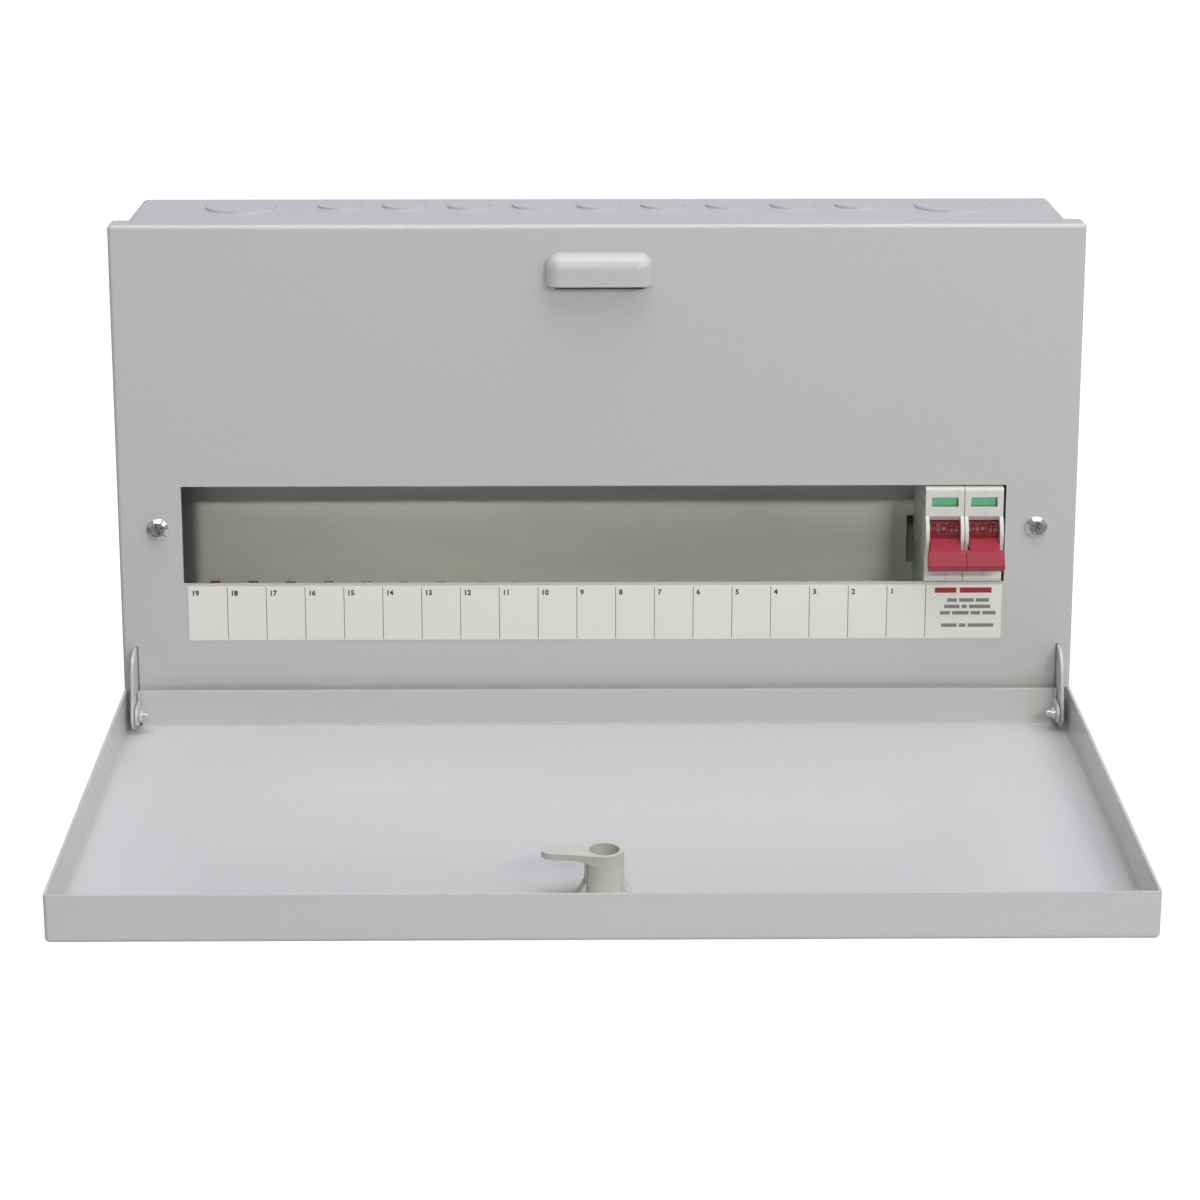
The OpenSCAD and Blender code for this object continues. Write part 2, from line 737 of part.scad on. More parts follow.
module hinge_ears() {
    color(paint) on_door() for (s = [-1, 1]) mirror([s > 0 ? 0 : 1, 0, 0]) difference() {
        along_x(ear_x, ear_t) ear_outline();
        translate([ear_x - 1, -pivot_in, pivot_up]) rotate([0, 90, 0])
            cylinder(r = bolt_r + 0.05, h = ear_t + 2);
    }
}

// arms fixed behind the cover that reach out through its slots, with a front edge that leans
// forward towards the pivot
module arm_outline() {
    root = inside_y + arm_t;
    low = pivot_z - arm_r;
    front = pivot_y - arm_reach;
    edge_y = front + arm_r * (1 - cos(arm_lean));
    edge_z = pivot_z + arm_r * sin(arm_lean);
    bend_z = pivot_z + arm_rise;
    bend_y = edge_y + (bend_z - edge_z) * tan(arm_lean);
    top_y = bend_y + arm_top_r * cos(arm_lean);
    intersection() {
        union() {
            translate([front + arm_r, pivot_z]) circle(r = arm_r);
            translate([top_y, low + arm_h - arm_top_r]) circle(r = arm_top_r);
            polygon([[root, low], [front + arm_r, low], [edge_y, edge_z], [bend_y, bend_z],
                [top_y, low + arm_h], [root, low + arm_h]]);
        }
        translate([front, low]) square([root - front, arm_h]);
    }
}

module hinge_arms() {
    color(paint) for (s = [-1, 1]) mirror([s > 0 ? 0 : 1, 0, 0]) difference() {
        union() {
            along_x(arm_x, arm_t) arm_outline();
            translate([arm_x - arm_foot_w, inside_y, pivot_z - 3])
                cube([arm_foot_w + 0.2, arm_t, arm_foot_h]);
        }
        translate([arm_x, pivot_y, pivot_z]) rotate([0, 90, 0]) {
            translate([0, 0, -1]) cylinder(r = bolt_r, h = arm_t + 2);
            bolt_head(arm_t);
        }
    }
}

// countersunk head that ends at height z
module bolt_head(z) {
    translate([0, 0, z - bolt_head_h]) cylinder(r1 = bolt_r, r2 = bolt_head_r, h = bolt_head_h);
}

module pivot_bolts() {
    color(zinc) for (s = [-1, 1]) mirror([s > 0 ? 0 : 1, 0, 0])
        translate([arm_x + arm_t, pivot_y, pivot_z]) rotate([0, 90, 0]) difference() {
            union() {
                translate([0, 0, -bolt_l]) cylinder(r = bolt_r, h = bolt_l);
                bolt_head(0);
            }
            // thread turns on the free end
            for (z = [0 : thread_pitch : bolt_end - thread_pitch]) translate([0, 0, z - bolt_l])
                rotate_extrude() polygon([[bolt_r - thread_d, thread_pitch / 2],
                    [bolt_r + 0.1, 0.05], [bolt_r + 0.1, thread_pitch - 0.05]]);
        }
}

module pivot_nuts() {
    color(zinc) for (s = [-1, 1]) mirror([s > 0 ? 0 : 1, 0, 0])
        translate([ear_x - hinge_gap - nut_h, pivot_y, pivot_z]) rotate([0, 90, 0]) difference() {
            cylinder(r = nut_r, h = nut_h, $fn = 6);
            translate([0, 0, -1]) cylinder(r = bolt_r, h = nut_h + 2);
        }
}

// ---------- latch ----------

// when closed, the lever's tip stands lever_hold above the hood's lower edge
latch_l = hood_z + lever_hold - lever_reach - pivot_z + pivot_in;
latch_h = pivot_out + pivot_up - latch_clear;
barrel_r = 8.1;
barrel_bore_r = 6.15;
lever_t = 2.6;
lever_tip_r = 4.6;
web_h = 2.2;
web_out = 3;
seam_w = 0.8;
seam_d = 1.2;
seam_turn = 212;
head_t = 0.8;
bush_r = 12.2;
bush_t = 1.2;
rib_r = 12;
rib_h = 7.2;
rib_w = 8;

module latch_place() {
    on_door() translate([latch_x, -latch_l, 0]) children();
}

// round plate on the inside of the door with two sloping ribs beside the barrel
module latch_bush() {
    color([0.74, 0.74, 0.69]) latch_place() translate([0, 0, sheet]) difference() {
        union() {
            cylinder(r = bush_r, h = bush_t);
            intersection() {
                cylinder(r1 = rib_r, r2 = barrel_r + 0.4, h = rib_h);
                translate([-bush_r, -rib_w / 2, 0]) cube([2 * bush_r, rib_w, rib_h]);
            }
        }
        translate([0, 0, -1]) cylinder(r = barrel_r + 0.08, h = rib_h + 2);
    }
}

module lever_outline() {
    tip = lever_reach - lever_tip_r;
    neck = lever_tip_r - 0.1;
    circle(r = barrel_r);
    translate([-tip, 0]) circle(r = lever_tip_r);
    polygon([[-1.2, barrel_r - 0.1], [-tip - 0.7, neck], [-tip - 0.7, -neck], [-1.2, 0.1 - barrel_r]]);
}

module latch_barrel() {
    color([0.74, 0.74, 0.69]) latch_place() difference() {
        union() {
            translate([0, 0, -0.05]) cylinder(r = barrel_r, h = latch_h + 0.05);
            translate([0, 0, latch_h - lever_t]) linear_extrude(height = lever_t) lever_outline();
            // web under the lever where it leaves the barrel
            translate([0, 0, latch_h - lever_t - web_h]) intersection() {
                cylinder(r1 = barrel_r, r2 = barrel_r + web_out, h = web_h);
                linear_extrude(height = web_h) lever_outline();
            }
        }
        // seam down the barrel
        rotate([0, 0, seam_turn]) translate([barrel_r - seam_d, -seam_w / 2, -1])
            cube([2 * seam_d, seam_w, latch_h - lever_t - web_h + 1]);
        translate([0, 0, 3]) cylinder(r = barrel_bore_r, h = latch_h);
    }
}

// flush quarter-turn head with a coin slot on the outside of the door
module latch_head() {
    color([0.74, 0.74, 0.69]) latch_place() difference() {
        translate([0, 0, -0.05 - head_t]) cylinder(r = 10.5, h = head_t);
        translate([-8, -0.9, -2]) cube([16, 1.8, 1.6]);
    }
}

back_box();
front_cover();
cover_brackets();
cover_screws();
label_strip();
carrier_plate();
carrier_screws();
switch_pole_left();
switch_pole_right();
switch_clips();
switch_clamps();
switch_screws();
switch_rivets();
toggle();
toggle_pin();
flag_shaft();
flags_green();
flags_red();
busbar();
busbar_shroud();
neutral_bar();
neutral_holders();
neutral_screws();
earth_bar();
earth_posts();
earth_screws();
link_sleeve();
link_core();
door();
hinge_ears();
hinge_arms();
pivot_bolts();
pivot_nuts();
latch_bush();
latch_barrel();
latch_head();
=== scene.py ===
"""Looks of the breaker panel: finishes for every CAD node, the printed label, the moulded marks of
the main switch, a white studio and the camera. Metres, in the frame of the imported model: X right,
Y into the wall, Z up, wall at Y = 0 and floor at Z = 0."""

import math

import bpy
from mathutils import Euler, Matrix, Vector


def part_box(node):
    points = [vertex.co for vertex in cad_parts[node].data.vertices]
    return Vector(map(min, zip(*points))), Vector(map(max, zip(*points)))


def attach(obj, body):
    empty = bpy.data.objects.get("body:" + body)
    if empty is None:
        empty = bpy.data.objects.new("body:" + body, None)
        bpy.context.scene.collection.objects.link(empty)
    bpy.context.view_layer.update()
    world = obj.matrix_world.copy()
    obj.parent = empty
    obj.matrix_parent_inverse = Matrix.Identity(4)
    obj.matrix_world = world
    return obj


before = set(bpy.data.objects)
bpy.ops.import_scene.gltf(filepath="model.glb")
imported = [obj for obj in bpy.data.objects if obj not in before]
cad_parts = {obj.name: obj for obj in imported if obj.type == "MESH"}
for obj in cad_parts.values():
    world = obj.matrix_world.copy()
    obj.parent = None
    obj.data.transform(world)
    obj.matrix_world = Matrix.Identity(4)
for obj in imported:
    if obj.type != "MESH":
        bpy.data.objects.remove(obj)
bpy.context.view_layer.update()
MM = 0.001


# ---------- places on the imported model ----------

LABEL_LOW, LABEL_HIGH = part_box("label_strip")
POLES = [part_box("switch_pole_left"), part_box("switch_pole_right")]
NOSE_Y = POLES[0][0][1]
PIN_LOW, PIN_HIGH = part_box("toggle_pin")
DRUM_Y = (PIN_LOW[1] + PIN_HIGH[1]) / 2
DRUM_Z = (PIN_LOW[2] + PIN_HIGH[2]) / 2
DRUM_R = 8 * MM
SWITCH_TURN = math.radians(54)


# ---------- helpers ----------

def srgb(red, green, blue):
    """Linear colour with alpha from 0-255 display values."""
    linear = [v / 255 / 12.92 if v <= 10 else ((v / 255 + 0.055) / 1.055) ** 2.4
              for v in (red, green, blue)]
    return (*linear, 1.0)


def shaded(colour, factor):
    """The same colour, lighter or darker."""
    return (*[min(c * factor, 1.0) for c in colour[:3]], 1.0)


def grey_level(value):
    """A colour as it is, or a plain number as a grey."""
    return value if isinstance(value, tuple) else (value, value, value, 1)


def put_in_scene(name, data):
    """A new object that holds the data."""
    item = bpy.data.objects.new(name, data)
    bpy.context.scene.collection.objects.link(item)
    return item


def new_mesh(name, verts, faces, material, body):
    """A mesh piece from corner lists that rides on a body."""
    mesh = bpy.data.meshes.new(name)
    mesh.from_pydata(verts, [], faces)
    mesh.update()
    mesh.materials.append(material)
    piece = put_in_scene(name, mesh)
    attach(piece, body)


# ---------- finishes ----------

class Finish:
    """A Principled material with noise that varies its colour, roughness and relief.
    Sizes of the grain are in millimetres on the object."""

    def __init__(self, name, colour, roughness, metallic=0.0):
        self.material = bpy.data.materials.new(name)
        self.material.use_nodes = True
        tree = self.material.node_tree
        self.nodes, self.links = tree.nodes, tree.links
        self.shader = tree.nodes["Principled BSDF"]
        self.colour = colour
        self.set("Base Color", colour).set("Roughness", roughness).set("Metallic", metallic)
        self.coords = self.nodes.new("ShaderNodeTexCoord").outputs["Object"]
        self.normal = None

    def set(self, socket, value):
        self.shader.inputs[socket].default_value = value
        return self

    def drive(self, socket, source):
        """Lets a node's output set one of the shader's sockets."""
        self.links.new(source, self.shader.inputs[socket])
        return self

    def noise(self, size, detail=2.0, stretch=(1, 1, 1)):
        """Noise with blobs of about size mm, longer along an axis with a small stretch factor."""
        mapping = self.nodes.new("ShaderNodeMapping")
        mapping.inputs["Scale"].default_value = stretch
        noise = self.nodes.new("ShaderNodeTexNoise")
        noise.inputs["Scale"].default_value = 1 / (size * MM)
        noise.inputs["Detail"].default_value = detail
        self.links.new(self.coords, mapping.inputs["Vector"])
        self.links.new(mapping.outputs["Vector"], noise.inputs["Vector"])
        return noise.outputs["Fac"]

    def ramp(self, source, low, high, start=0.35, end=0.65):
        """Maps noise to a value or colour between low and high."""
        spread = self.nodes.new("ShaderNodeValToRGB")
        for stop, position, value in zip(spread.color_ramp.elements, (start, end), (low, high)):
            stop.position = position
            stop.color = grey_level(value)
        self.links.new(source, spread.inputs["Fac"])
        return spread.outputs["Color"]

    def mottle(self, size, amount, detail=3.0, stretch=(1, 1, 1)):
        """Colour that drifts by amount, a share of it, over blobs of size mm."""
        return self.drive("Base Color", self.ramp(self.noise(size, detail, stretch),
                                                  shaded(self.colour, 1 - amount),
                                                  shaded(self.colour, 1 + amount)))

    def polish(self, size, low, high, stretch=(1, 1, 1)):
        """Roughness that drifts between low and high over blobs of size mm."""
        return self.drive("Roughness", self.ramp(self.noise(size, 3.0, stretch), low, high))

    def grain(self, size, height):
        """Relief of height mm over blobs of size mm."""
        bump = self.nodes.new("ShaderNodeBump")
        bump.inputs["Strength"].default_value = 1.0
        bump.inputs["Distance"].default_value = height * MM
        self.links.new(self.noise(size), bump.inputs["Height"])
        if self.normal:
            self.links.new(self.normal, bump.inputs["Normal"])
        self.normal = bump.outputs["Normal"]
        return self.drive("Normal", self.normal)

    def painted_shade_core(self, centre, inner, outer, factor):
        """Painted shade: darkens the colour by factor within inner mm of a line along X through
        centre, back to full at outer mm. Called after mottle."""
        place = self.nodes.new("ShaderNodeMapping")
        place.inputs["Location"].default_value = (0, -centre[1], -centre[2])
        place.inputs["Scale"].default_value = (0, 1, 1)
        reach = self.nodes.new("ShaderNodeVectorMath")
        reach.operation = "LENGTH"
        fade = self.nodes.new("ShaderNodeMapRange")
        fade.inputs["From Min"].default_value = inner * MM
        fade.inputs["From Max"].default_value = outer * MM
        fade.inputs["To Min"].default_value = factor
        blend = self.nodes.new("ShaderNodeMixRGB")
        blend.blend_type = "MULTIPLY"
        blend.inputs["Fac"].default_value = 1.0
        colour = self.shader.inputs["Base Color"].links[0].from_socket
        self.links.new(self.coords, place.inputs["Vector"])
        self.links.new(place.outputs["Vector"], reach.inputs[0])
        self.links.new(reach.outputs["Value"], fade.inputs["Value"])
        self.links.new(colour, blend.inputs["Color1"])
        self.links.new(fade.outputs["Result"], blend.inputs["Color2"])
        return self.drive("Base Color", blend.outputs["Color"])

    def soft_edges(self, radius):
        """Rounds the edges by radius mm in the shading. Called before grain."""
        bevel = self.nodes.new("ShaderNodeBevel")
        bevel.samples = 6
        bevel.inputs["Radius"].default_value = radius * MM
        self.normal = bevel.outputs["Normal"]
        return self.drive("Normal", self.normal)


GREY = srgb(204, 205, 201)
CASE_WHITE = srgb(226, 225, 217)
LATCH_GREY = srgb(206, 205, 194)
TOGGLE_RED = srgb(166, 51, 63)
# painted shade: the marks are the drum's red plastic, darkened for the shade in the switch's recess
SHADED_MARK_RED = srgb(92, 6, 20)


def powder_coat(name, grain_mm, grain_height, lighter=1.0):
    """Light grey polyester powder coat with its orange-peel skin and sanded speckle. A lighter
    factor above 1 is painted light: the same coat made brighter.
    """
    coat = Finish(name, shaded(GREY, lighter), roughness=0.42).soft_edges(radius=0.45)
    coat.set("Coat Weight", 0.5).set("Coat Roughness", 0.14)
    coat.mottle(size=0.9, amount=0.018).polish(size=1.6, low=0.36, high=0.48)
    coat.grain(size=7.0, height=0.003).grain(grain_mm, grain_height)
    return coat.material


def plated(name, colour, low, high, metallic=1.0):
    """Metal with plating: uneven polish, from roughness low to high, and faint tarnish."""
    metal = Finish(name, colour, (low + high) / 2, metallic).soft_edges(radius=0.15)
    metal.mottle(size=2.5, amount=0.05).polish(1.2, low, high).grain(size=0.5, height=0.004)
    return metal.material


def moulding(name, colour, low, high, edge):
    """Moulded plastic with a faint spark-eroded grain and flow marks: roughness from low to high,
    edges rounded by edge mm."""
    plastic = Finish(name, colour, (low + high) / 2).soft_edges(edge)
    plastic.mottle(size=4.0, amount=0.02).polish(2.0, low, high).grain(size=0.35, height=0.004)
    return plastic


def moulded(name, colour, low=0.32, high=0.42, edge=0.2):
    return moulding(name, colour, low, high, edge).material


def toggle_finish():
    """Red plastic with painted shade on the drum: darker there than on the lever, for the shade
    that the switch's recess casts on it.
    """
    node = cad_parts["toggle"]
    centre = node.matrix_world.inverted() @ ((Vector(PIN_LOW) + Vector(PIN_HIGH)) / 2)
    plastic = moulding("toggle_red", TOGGLE_RED, low=0.3, high=0.42, edge=0.35)
    # painted shade: the drum's red falls to 0.6 within 8.1 mm of the pin's line
    return plastic.painted_shade_core(centre, inner=8.1, outer=8.9, factor=0.6).material


def shaded_drum_mark_finish():
    """Dull red of the marks on the drum, coloured darker than the drum's plastic as painted shade
    for the recess they sit in.
    """
    plastic = moulding("drum_mark", SHADED_MARK_RED, low=0.5, high=0.6, edge=0.1)
    return plastic.set("Specular IOR Level", 0.2).material


def carrier_plate_finish():
    """Cold-rolled plate with a thin passivated zinc layer: satin, with its rolling grain along X,
    which spreads reflections up and down."""
    plate = Finish("carrier", srgb(222, 226, 220), roughness=0.43, metallic=1.0)
    plate.set("Anisotropic", 0.85)
    plate.mottle(size=14.0, amount=0.03, stretch=(0.25, 1, 1))
    plate.polish(size=3.0, low=0.43, high=0.47, stretch=(0.1, 1, 1))
    tangent = plate.nodes.new("ShaderNodeTangent")
    tangent.direction_type = "RADIAL"
    tangent.axis = "X"
    return plate.drive("Tangent", tangent.outputs["Tangent"]).material


def paper(name, colour):
    """Matt printed label film."""
    film = Finish(name, colour, roughness=0.5)
    film.mottle(size=1.5, amount=0.008).polish(size=3.0, low=0.45, high=0.55)
    return film.grain(size=0.4, height=0.002).material


def ink(name, colour):
    """Thin print with slightly uneven cover."""
    return Finish(name, colour, roughness=0.55).mottle(size=0.3, amount=0.15).material


FINISHES = {
    "box_paint": powder_coat("box_paint", 0.55, 0.005),
    "cover_paint": powder_coat("cover_paint", 0.6, 0.007),
    # painted light: the door's inside is the cover's coat made 4.5 % lighter, for the stronger
    # light on its upturned face
    "door_paint": powder_coat("door_paint", 0.5, 0.004, lighter=1.045),
    "zinc": plated("zinc", srgb(226, 229, 232), 0.08, 0.18, metallic=0.75),
    "label": paper("label", srgb(241, 241, 234)),
    "carrier": carrier_plate_finish(),
    "switch_case": moulded("switch_case", CASE_WHITE),
    "clip_plastic": moulded("clip_plastic", srgb(92, 94, 96)),
    "brass": plated("brass", srgb(214, 180, 110), 0.22, 0.36),
    "toggle_red": toggle_finish(),
    "flag_green": moulded("flag_green", srgb(104, 196, 144)),
    "flag_red": moulded("flag_red", srgb(196, 38, 44)),
    "copper": plated("copper", srgb(198, 150, 122), 0.2, 0.38),
    "shroud": moulded("shroud", srgb(150, 154, 158)),
    "holder_blue": moulded("holder_blue", srgb(84, 118, 172)),
    "sleeve_blue": moulded("sleeve_blue", srgb(36, 74, 150)),
    "latch_plastic": moulded("latch_plastic", LATCH_GREY, 0.38, 0.5, edge=0.3),
}

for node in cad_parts.values():
    for slot in node.material_slots:
        slot.material = FINISHES[slot.material.name.split(".")[0]]

INK_DARK = ink("ink_dark", srgb(24, 24, 27))
INK_RED = ink("ink_red", srgb(172, 44, 48))
INK_PALE = ink("ink_pale", srgb(136, 136, 138))
# painted shade: the mould line is the case plastic darkened to 0.72 for the shade along the line
SHADED_MOULD_LINE = moulded("mould_line", shaded(CASE_WHITE, 0.72))
MARK = shaded_drum_mark_finish()
RULE_GREY = ink("rule_grey", srgb(92, 92, 95))


# ---------- print on the label ----------

CELL = 18 * MM
CELLS = 19
FIRST_CELL = LABEL_LOW[0] + 0.2 * MM
INK_LIFT = 0.02 * MM
INK_Y = LABEL_LOW[1] - INK_LIFT
CAPITAL_SHARE = 0.73  # a capital's height as a share of the type size


def flat_boxes(name, boxes, front, back, material, body="cabinet"):
    """One piece of thin upright plates, each given as (left, low, right, high) in X and Z."""
    verts, faces = [], []
    for left, low, right, high in boxes:
        at = len(verts)
        outline = [(left, low), (right, low), (right, high), (left, high)]
        verts += [(x, front, z) for x, z in outline] + [(x, back, z) for x, z in outline]
        faces += [(at, at + 1, at + 2, at + 3), (at + 7, at + 6, at + 5, at + 4)]
        faces += [(at + i, at + 4 + i, at + 4 + (i + 1) % 4, at + (i + 1) % 4) for i in range(4)]
    new_mesh(name, verts, faces, material, body)


def letters(text, height, depth, swell):
    """Corners and faces of a word, flat in X and Z, its left foot at the origin, capitals height
    tall, with strokes thickened by swell on each side."""
    curve = bpy.data.curves.new("letters", "FONT")
    curve.body = text
    curve.size = height / CAPITAL_SHARE
    curve.extrude = depth / 2
    curve.offset = swell
    curve.resolution_u = 3
    source = put_in_scene("letters", curve)
    mesh = source.evaluated_get(bpy.context.evaluated_depsgraph_get()).to_mesh()
    verts = [(v.co.x, -v.co.z, v.co.y) for v in mesh.vertices]
    faces = [tuple(p.vertices) for p in mesh.polygons]
    bpy.data.objects.remove(source)
    return verts, faces


def add_word(verts, faces, word, place):
    """Adds a word's corners and faces to a piece, each corner moved by place."""
    word_verts, word_faces = word
    at = len(verts)
    verts += [place(v) for v in word_verts]
    faces += [tuple(at + i for i in face) for face in word_faces]


def label_numbers():
    """Way numbers, counted from the switch outwards, in the top left corner of each cell."""
    height, swell = 2.5 * MM, 0.12 * MM
    inset, drop = 1.5 * MM, 4.4 * MM
    foot = LABEL_HIGH[2] - drop
    verts, faces = [], []
    for cell in range(CELLS):
        left = FIRST_CELL + cell * CELL + inset
        add_word(verts, faces, letters(str(CELLS - cell), height, INK_LIFT, swell),
                 lambda v: (left + v[0], INK_Y + v[1], foot + v[2]))
    new_mesh("label_numbers", verts, faces, INK_DARK, "cabinet")


def label_rules():
    """Thin rules between the cells."""
    half, margin = 0.15 * MM, 0.5 * MM
    low, high = LABEL_LOW[2] + margin, LABEL_HIGH[2] - margin
    places = [FIRST_CELL + cell * CELL for cell in range(1, CELLS + 1)]
    flat_boxes("label_rules", [(x - half, low, x + half, high) for x in places],
               INK_Y, LABEL_LOW[1], RULE_GREY)


def switch_label():
    """Generic print under the main switch: a red heading and plain lines, each a row of blocks as
    long as words, with no letters."""
    left = FIRST_CELL + CELLS * CELL
    top = LABEL_HIGH[2]
    # each row: millimetres below the top, height, and the start and end of each block
    heading = [(1.5, 2.5, [(4.2, 14.2), (15.8, 30.6)])]
    lines = [(6.7, 1.7, [(10.1, 14.6), (15.6, 22.4), (23.4, 29.5)]),
             (9.8, 1.7, [(8.7, 15.9), (16.9, 19.3), (20.3, 30.2)]),
             (12.9, 1.7, [(6.8, 11.5), (12.5, 20.2), (21.2, 25.6), (26.6, 32.8)]),
             (18.9, 1.7, [(7.5, 14.8), (15.8, 18.9), (19.9, 31.9)])]
    for name, rows, material in (("switch_label_heading", heading, INK_RED),
                                 ("switch_label_lines", lines, INK_PALE)):
        boxes = [(left + start * MM, top - (down + height) * MM, left + end * MM, top - down * MM)
                 for down, height, blocks in rows for start, end in blocks]
        flat_boxes(name, boxes, INK_Y, LABEL_LOW[1], material)


label_numbers()
label_rules()
switch_label()


# ---------- marks moulded on the main switch ----------

MARK_WIDTH = 11.6 * MM
MARK_HEIGHT = 4.1 * MM
MARK_DEPTH = 0.5 * MM
MARK_SWELL = 0.1 * MM
MARK_ANGLE = math.radians(25)  # above the horizontal for OFF, below it for ON


def on_drum(pole, angle, width, height):
    """Wraps flat lettering round a drum, centred at angle above the horizontal."""
    middle = (pole[0][0] + pole[1][0]) / 2

    def place(v):
        turn = angle + (v[2] - height / 2) / DRUM_R
        radius = DRUM_R - v[1]
        return (middle + v[0] - width / 2, DRUM_Y - radius * math.cos(turn),
                DRUM_Z + radius * math.sin(turn))
    return place


def drum_marks():
    """OFF shows above the lever now, ON below it once the lever is up."""
    verts, faces = [], []
    for pole in POLES:
        for text, angle in (("0 OFF", MARK_ANGLE), ("I ON", -MARK_ANGLE - SWITCH_TURN)):
            word_verts, word_faces = letters(text, MARK_HEIGHT, MARK_DEPTH, MARK_SWELL)
            squeeze = MARK_WIDTH / max(v[0] for v in word_verts)
            word = ([(v[0] * squeeze, v[1], v[2]) for v in word_verts], word_faces)
            add_word(verts, faces, word, on_drum(pole, angle, MARK_WIDTH, MARK_HEIGHT))
    new_mesh("drum_marks", verts, faces, MARK, "switch_toggle")


def mould_lines():
    """The faint line down the middle of each pole: two stretches above the toggle, with the flag
    window between them, and one below it. Each is a thin strip of the case plastic darkened as
    painted shade."""
    half, proud = 0.09 * MM, 0.03 * MM
    # ends of each stretch, in millimetres above the middle of the drum
    stretches = [(10.6, 13.4), (18.0, 20.9), (-20.6, -9.2)]
    boxes = []
    for low_corner, high_corner in POLES:
        middle = (low_corner[0] + high_corner[0]) / 2
        boxes += [(middle - half, DRUM_Z + low * MM, middle + half, DRUM_Z + high * MM)
                  for low, high in stretches]
    flat_boxes("mould_lines", boxes, NOSE_Y - proud, NOSE_Y, SHADED_MOULD_LINE)


drum_marks()
mould_lines()


# ---------- studio ----------

COOL = (0.88, 0.89, 1.0)
WARM = (1.0, 0.98, 0.92)
AIM = Vector((0, -0.1, 0.1))
FLOOR_HALF = 8.0
FLOOR_DROP = 0.2 * MM
FLOOR_GLOW, FLOOR_GLOW_SHARE = 1.18, 0.85  # what the camera sees of the floor
FLOOR_IN_MIRRORS = 0.03
ROOM_IN_MIRRORS = 0.08
BACKDROP_IN_MIRRORS = 0.5
ROOM_ENDS, BACKDROP_STARTS = -0.4, 0.2  # Y of the direction that a mirror looks in

LAMPS = [
    # name, azimuth, elevation, distance, width, height, power, colour
    ("overhead", 0, 75, 2.5, 1.6, 1.6, 24, COOL),
    ("overhead_right", 90, 65, 2.5, 1.6, 1.6, 20, COOL),
    ("overhead_left", -90, 65, 2.5, 1.6, 1.6, 11, COOL),
    ("right_fill", 55, 35, 3.0, 1.4, 1.4, 17, COOL),
    ("right_key", 23, 24, 3.0, 0.9, 0.15, 20.5, WARM),
    ("left_key", -5.5, 24, 3.0, 0.3, 0.12, 10, WARM),
]


def show_plain(tree, surface, ray, strength, share=1.0, tint=(1, 1, 1)):
    """Mixes a surface with an even glow for one kind of ray, and gives back the mixed surface.
    The strength is a number, or a socket that sets it."""
    nodes, links = tree.nodes, tree.links
    path = nodes.new("ShaderNodeLightPath")
    scaled = nodes.new("ShaderNodeMath")
    scaled.operation = "MULTIPLY"
    scaled.inputs[1].default_value = share
    links.new(path.outputs[ray], scaled.inputs[0])
    mix = nodes.new("ShaderNodeMixShader")
    kind = "ShaderNodeBackground" if nodes.get("World Output") else "ShaderNodeEmission"
    glow = nodes.new(kind)
    glow.inputs["Color"].default_value = (*tint, 1)
    if isinstance(strength, float):
        glow.inputs["Strength"].default_value = strength
    else:
        links.new(strength, glow.inputs["Strength"])
    links.new(scaled.outputs[0], mix.inputs["Fac"])
    links.new(surface, mix.inputs[1])
    links.new(glow.outputs[0], mix.inputs[2])
    return mix.outputs[0]


def studio_floor():
    """A wide white floor that keeps the object's shadow."""
    material = bpy.data.materials.new("floor")
    material.use_nodes = True
    tree = material.node_tree
    shader = tree.nodes["Principled BSDF"]
    shader.inputs["Base Color"].default_value = srgb(225, 225, 225)
    shader.inputs["Roughness"].default_value = 0.9
    shader.inputs["Specular IOR Level"].default_value = 0.0
    mixed = show_plain(tree, shader.outputs["BSDF"], "Is Glossy Ray", FLOOR_IN_MIRRORS)
    mixed = show_plain(tree, mixed, "Is Camera Ray", FLOOR_GLOW, FLOOR_GLOW_SHARE)
    tree.links.new(mixed, tree.nodes["Material Output"].inputs["Surface"])
    mesh = bpy.data.meshes.new("floor")
    corners = [(-1, -1), (1, -1), (1, 1), (-1, 1)]
    mesh.from_pydata([(x * FLOOR_HALF, y * FLOOR_HALF, 0) for x, y in corners], [],
                     [(0, 1, 2, 3)])
    mesh.materials.append(material)
    floor = put_in_scene("floor", mesh)
    floor.location.z = -FLOOR_DROP


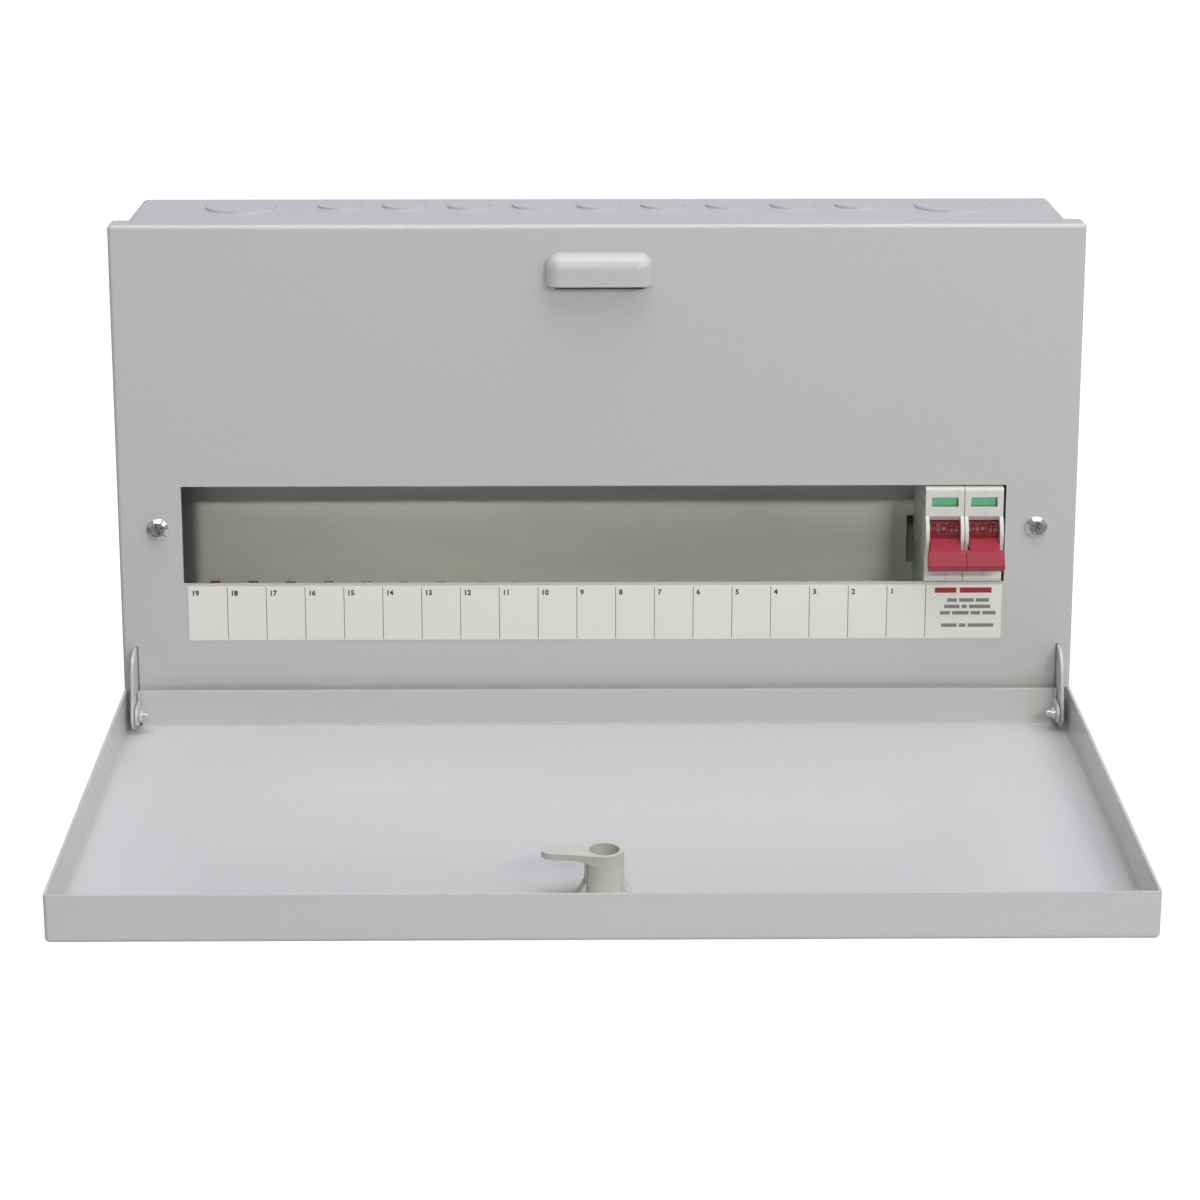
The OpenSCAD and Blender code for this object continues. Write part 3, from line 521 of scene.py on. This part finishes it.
def studio_world(ambient):
    """Even white surroundings. In mirrors they are a pale backdrop behind the object and above it,
    and a dim room in front."""
    world = bpy.data.worlds.new("studio")
    bpy.context.scene.world = world
    world.use_nodes = True
    tree = world.node_tree
    background = tree.nodes["Background"]
    background.inputs["Color"].default_value = (0.96, 0.98, 1.0, 1)
    background.inputs["Strength"].default_value = ambient
    direction = tree.nodes.new("ShaderNodeTexCoord")
    parts = tree.nodes.new("ShaderNodeSeparateXYZ")
    towards_back = tree.nodes.new("ShaderNodeMapRange")
    towards_back.inputs["From Min"].default_value = ROOM_ENDS
    towards_back.inputs["From Max"].default_value = BACKDROP_STARTS
    towards_back.inputs["To Min"].default_value = ROOM_IN_MIRRORS
    towards_back.inputs["To Max"].default_value = BACKDROP_IN_MIRRORS
    tree.links.new(direction.outputs["Generated"], parts.inputs["Vector"])
    tree.links.new(parts.outputs["Y"], towards_back.inputs["Value"])
    mixed = show_plain(tree, background.outputs["Background"], "Is Glossy Ray",
                       towards_back.outputs["Result"], tint=COOL)
    mixed = show_plain(tree, mixed, "Is Camera Ray", 1.0)
    tree.links.new(mixed, tree.nodes["World Output"].inputs["Surface"])


def softbox(name, azimuth, elevation, distance, width, height, power, colour):
    """A soft lamp aimed at the object. Azimuth 0 is in front, 90 on the right."""
    a, e = math.radians(azimuth), math.radians(elevation)
    direction = Vector((math.sin(a) * math.cos(e), -math.cos(a) * math.cos(e), math.sin(e)))
    data = bpy.data.lights.new(name, "AREA")
    data.shape = "RECTANGLE"
    data.size = width
    data.size_y = height
    data.energy = power
    data.color = colour
    lamp = put_in_scene(name, data)
    lamp.location = AIM + distance * direction
    lamp.rotation_euler = (-direction).to_track_quat("-Z", "Y").to_euler()


def camera():
    """Long lens from above the front, shifted to keep the cabinet's sides near upright."""
    data = bpy.data.cameras.new("camera")
    data.sensor_width = 36
    data.lens = 92.01
    data.shift_x = 0.0012
    data.shift_y = -0.15
    data.clip_end = 50
    eye = put_in_scene("camera", data)
    eye.location = (-0.0129, -1.4414, 0.4855)
    pitch, yaw = 0.2396, 0.0098
    eye.rotation_euler = Euler((math.pi / 2 - pitch, 0, -yaw))
    bpy.context.scene.camera = eye


studio_floor()
studio_world(ambient=0.02)
for lamp in LAMPS:
    softbox(*lamp)
camera()
bpy.context.scene.view_settings.view_transform = "Standard"
